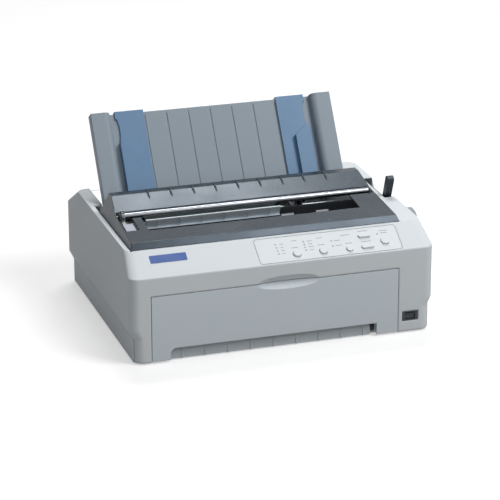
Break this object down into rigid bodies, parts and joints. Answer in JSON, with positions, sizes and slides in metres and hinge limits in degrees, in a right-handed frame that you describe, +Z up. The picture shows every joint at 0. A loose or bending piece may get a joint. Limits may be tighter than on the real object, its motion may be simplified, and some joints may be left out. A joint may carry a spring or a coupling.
{
  "type": "dot matrix printer",
  "caption": "Narrow-carriage dot matrix printer with a smoke hinged cover, chrome tension roller, leaning paper guide with blue edge guides, sloped control panel and side knob.",
  "frame": {"origin": "middle of the bounding box in X and Y, on the desk under the feet", "axes": "+X to the printer's right (knob side), +Z up, front of the printer towards -Y"},
  "size_m": [0.427, 0.333, 0.2506],
  "materials": {
    "case_shell": "fine",
    "front_door": "fine",
    "guide_plastic": "fine",
    "blue_plastic": "fine",
    "smoke_plastic": "smoke",
    "dark_plastic": "fine",
    "panel_sheet": "fine",
    "button_plastic": "fine",
    "lamp": "clear",
    "chrome": "polished",
    "steel": "brushed",
    "nylon": "satin",
    "rubber": "ground",
    "knob_plastic": "fine",
    "board": "coated",
    "light_plastic": "satin",
    "copper_core": "lacquered"
  },
  "bodies": {
    "case": {"lower_case": "case_shell", "upper_case": "case_shell", "front_paper_guide": "guide_plastic", "control_panel": "panel_sheet", "status_lamps": "lamp", "tension_frame": "dark_plastic", "exit_guide": "light_plastic", "release_tab": "light_plastic", "lever_bezel": "dark_plastic", "feed_motor": "steel", "tractor_support_shaft": "steel", "side_frame_left": "steel", "side_frame_right": "steel", "front_beam": "steel", "paper_chute": "dark_plastic", "carriage_shaft": "chrome", "ribbon_cartridge": "dark_plastic", "drive_belt": "rubber", "carriage_motor": "steel", "main_board": "board", "power_unit": "copper_core", "switch_bezel": "dark_plastic", "feet": "rubber", "screws": "steel"},
    "front_cover": {"front_cover": "front_door"},
    "button_pause": {"button_pause": "button_plastic"},
    "button_feed": {"button_feed": "button_plastic"},
    "button_eject": {"button_eject": "button_plastic"},
    "button_tear_off": {"button_tear_off": "button_plastic"},
    "button_font": {"button_font": "button_plastic"},
    "button_pitch": {"button_pitch": "button_plastic"},
    "printer_cover": {"printer_cover": "smoke_plastic"},
    "tension_roller": {"tension_roller": "chrome"},
    "tension_idler_gear": {"tension_idler_gear": "nylon"},
    "paper_guide": {"paper_guide": "guide_plastic"},
    "edge_guide_left": {"edge_guide_left": "blue_plastic"},
    "edge_guide_right": {"edge_guide_right": "blue_plastic"},
    "release_lever": {"paper_release_lever": "dark_plastic", "release_shaft": "steel"},
    "platen": {"platen": "rubber", "platen_shaft": "steel", "platen_knob": "knob_plastic", "platen_gear": "nylon"},
    "feed_idler_gear": {"feed_idler_gear": "nylon"},
    "feed_pinion": {"feed_pinion": "nylon"},
    "tractor_idler_front": {"tractor_idler_front": "nylon"},
    "tractor_idler_rear": {"tractor_idler_rear": "nylon"},
    "tractor_shaft": {"tractor_shaft": "steel"},
    "tractor_left": {"tractor_left": "dark_plastic"},
    "tractor_lid_left": {"tractor_lid_left": "dark_plastic"},
    "sprocket_left": {"sprocket_left": "nylon"},
    "tractor_right": {"tractor_right": "dark_plastic"},
    "tractor_lid_right": {"tractor_lid_right": "dark_plastic"},
    "sprocket_right": {"sprocket_right": "nylon"},
    "carriage": {"carriage": "dark_plastic", "print_head": "dark_plastic", "ribbon_guide": "light_plastic"},
    "motor_pulley": {"motor_pulley": "nylon"},
    "idler_pulley": {"idler_pulley": "nylon"},
    "power_switch": {"power_switch": "dark_plastic"}
  },
  "joints": [
    {"name": "cover_hinge", "type": "hinge", "parent": "case", "child": "printer_cover", "pos_m": [-0.0195, 0.026, 0.134], "axis": [-1, 0, 0], "range_deg": [0, 45]},
    {"name": "front_cover_hinge", "type": "hinge", "parent": "case", "child": "front_cover", "pos_m": [-0.0195, -0.1622, 0.0065], "axis": [1, 0, 0], "range_deg": [0, 80]},
    {"name": "guide_hinge", "type": "hinge", "parent": "case", "child": "paper_guide", "pos_m": [-0.0195, 0.05, 0.135], "axis": [-1, 0, 0], "range_deg": [0, 40]},
    {"name": "edge_slide_left", "type": "slide", "parent": "paper_guide", "child": "edge_guide_left", "axis": [1, 0, 0], "range_m": [-0.006, 0.06]},
    {"name": "edge_slide_right", "type": "slide", "parent": "paper_guide", "child": "edge_guide_right", "axis": [1, 0, 0], "range_m": [-0.06, 0.006]},
    {"name": "button_font_press", "type": "slide", "parent": "case", "child": "button_font", "axis": [0, 0.5446, -0.8387], "range_m": [0, 0.001], "stiffness_N_per_m": 300},
    {"name": "button_pitch_press", "type": "slide", "parent": "case", "child": "button_pitch", "axis": [0, 0.5446, -0.8387], "range_m": [0, 0.001], "stiffness_N_per_m": 300},
    {"name": "button_tear_off_press", "type": "slide", "parent": "case", "child": "button_tear_off", "axis": [0, 0.5446, -0.8387], "range_m": [0, 0.001], "stiffness_N_per_m": 300},
    {"name": "button_pause_press", "type": "slide", "parent": "case", "child": "button_pause", "axis": [0, 0.5446, -0.8387], "range_m": [0, 0.001], "stiffness_N_per_m": 300},
    {"name": "button_eject_press", "type": "slide", "parent": "case", "child": "button_eject", "axis": [0, 0.5446, -0.8387], "range_m": [0, 0.001], "stiffness_N_per_m": 300},
    {"name": "button_feed_press", "type": "slide", "parent": "case", "child": "button_feed", "axis": [0, 0.5446, -0.8387], "range_m": [0, 0.001], "stiffness_N_per_m": 300},
    {"name": "lever_hinge", "type": "hinge", "parent": "case", "child": "release_lever", "pos_m": [0.1845, -0.014, 0.088], "axis": [-1, 0, 0], "range_deg": [0, 24]},
    {"name": "platen_turn", "type": "hinge", "parent": "case", "child": "platen", "pos_m": [-0.0195, -0.05, 0.111], "axis": [1, 0, 0], "continuous": true},
    {"name": "feed_idler_turn", "type": "hinge", "parent": "case", "child": "feed_idler_gear", "pos_m": [-0.1985, -0.06416, 0.08208], "axis": [1, 0, 0], "continuous": true},
    {"name": "feed_pinion_turn", "type": "hinge", "parent": "case", "child": "feed_pinion", "pos_m": [-0.1985, -0.062, 0.063], "axis": [1, 0, 0], "continuous": true},
    {"name": "tractor_idler_front_turn", "type": "hinge", "parent": "case", "child": "tractor_idler_front", "pos_m": [-0.1985, -0.00715, 0.08297], "axis": [1, 0, 0], "continuous": true},
    {"name": "tractor_idler_rear_turn", "type": "hinge", "parent": "case", "child": "tractor_idler_rear", "pos_m": [-0.1985, 0.055, 0.08554], "axis": [1, 0, 0], "continuous": true},
    {"name": "tractor_shaft_turn", "type": "hinge", "parent": "case", "child": "tractor_shaft", "pos_m": [-0.1985, 0.106, 0.09], "axis": [1, 0, 0], "continuous": true},
    {"name": "tension_idler_turn", "type": "hinge", "parent": "case", "child": "tension_idler_gear", "pos_m": [-0.1985, -0.04649, 0.13898], "axis": [1, 0, 0], "continuous": true},
    {"name": "tension_roller_turn", "type": "hinge", "parent": "case", "child": "tension_roller", "pos_m": [-0.1985, -0.0376, 0.156], "axis": [1, 0, 0], "continuous": true},
    {"name": "tractor_slide_left", "type": "slide", "parent": "case", "child": "tractor_left", "axis": [1, 0, 0], "range_m": [-0.028, 0.04]},
    {"name": "tractor_lid_hinge_left", "type": "hinge", "parent": "tractor_left", "child": "tractor_lid_left", "pos_m": [-0.1445, 0.117, 0.1036], "axis": [0, -1, 0], "range_deg": [0, 100]},
    {"name": "sprocket_turn_left", "type": "hinge", "parent": "tractor_left", "child": "sprocket_left", "pos_m": [-0.1315, 0.106, 0.09], "axis": [1, 0, 0], "continuous": true},
    {"name": "tractor_slide_right", "type": "slide", "parent": "case", "child": "tractor_right", "axis": [1, 0, 0], "range_m": [-0.04, 0.028]},
    {"name": "tractor_lid_hinge_right", "type": "hinge", "parent": "tractor_right", "child": "tractor_lid_right", "pos_m": [0.1055, 0.117, 0.1036], "axis": [0, 1, 0], "range_deg": [0, 100]},
    {"name": "sprocket_turn_right", "type": "hinge", "parent": "tractor_right", "child": "sprocket_right", "pos_m": [0.0925, 0.106, 0.09], "axis": [1, 0, 0], "continuous": true},
    {"name": "carriage_slide", "type": "slide", "parent": "case", "child": "carriage", "axis": [1, 0, 0], "range_m": [-0.185, 0.045]},
    {"name": "motor_pulley_turn", "type": "hinge", "parent": "case", "child": "motor_pulley", "pos_m": [-0.1735, -0.103, 0.069], "axis": [0, 0, 1], "continuous": true},
    {"name": "idler_pulley_turn", "type": "hinge", "parent": "case", "child": "idler_pulley", "pos_m": [0.1365, -0.103, 0.069], "axis": [0, 0, 1], "continuous": true},
    {"name": "switch_rock", "type": "hinge", "parent": "case", "child": "power_switch", "pos_m": [0.164, -0.1598, 0.0232], "axis": [-1, 0, 0], "range_deg": [0, 8]}
  ],
  "couplings": [
    {"joint": "feed_idler_turn", "follows": "platen_turn", "ratio": -1.6667},
    {"joint": "feed_pinion_turn", "follows": "platen_turn", "ratio": 2.8571},
    {"joint": "tractor_idler_front_turn", "follows": "platen_turn", "ratio": -0.64516},
    {"joint": "tractor_idler_rear_turn", "follows": "platen_turn", "ratio": 0.64516},
    {"joint": "tractor_shaft_turn", "follows": "platen_turn", "ratio": -1},
    {"joint": "tension_idler_turn", "follows": "platen_turn", "ratio": -1.5455},
    {"joint": "tension_roller_turn", "follows": "platen_turn", "ratio": 2.125},
    {"joint": "sprocket_turn_left", "follows": "platen_turn", "ratio": -1},
    {"joint": "sprocket_turn_right", "follows": "platen_turn", "ratio": -1},
    {"joint": "motor_pulley_turn", "follows": "carriage_slide", "rad_per_m": 117.65},
    {"joint": "idler_pulley_turn", "follows": "carriage_slide", "rad_per_m": 117.65}
  ]
}
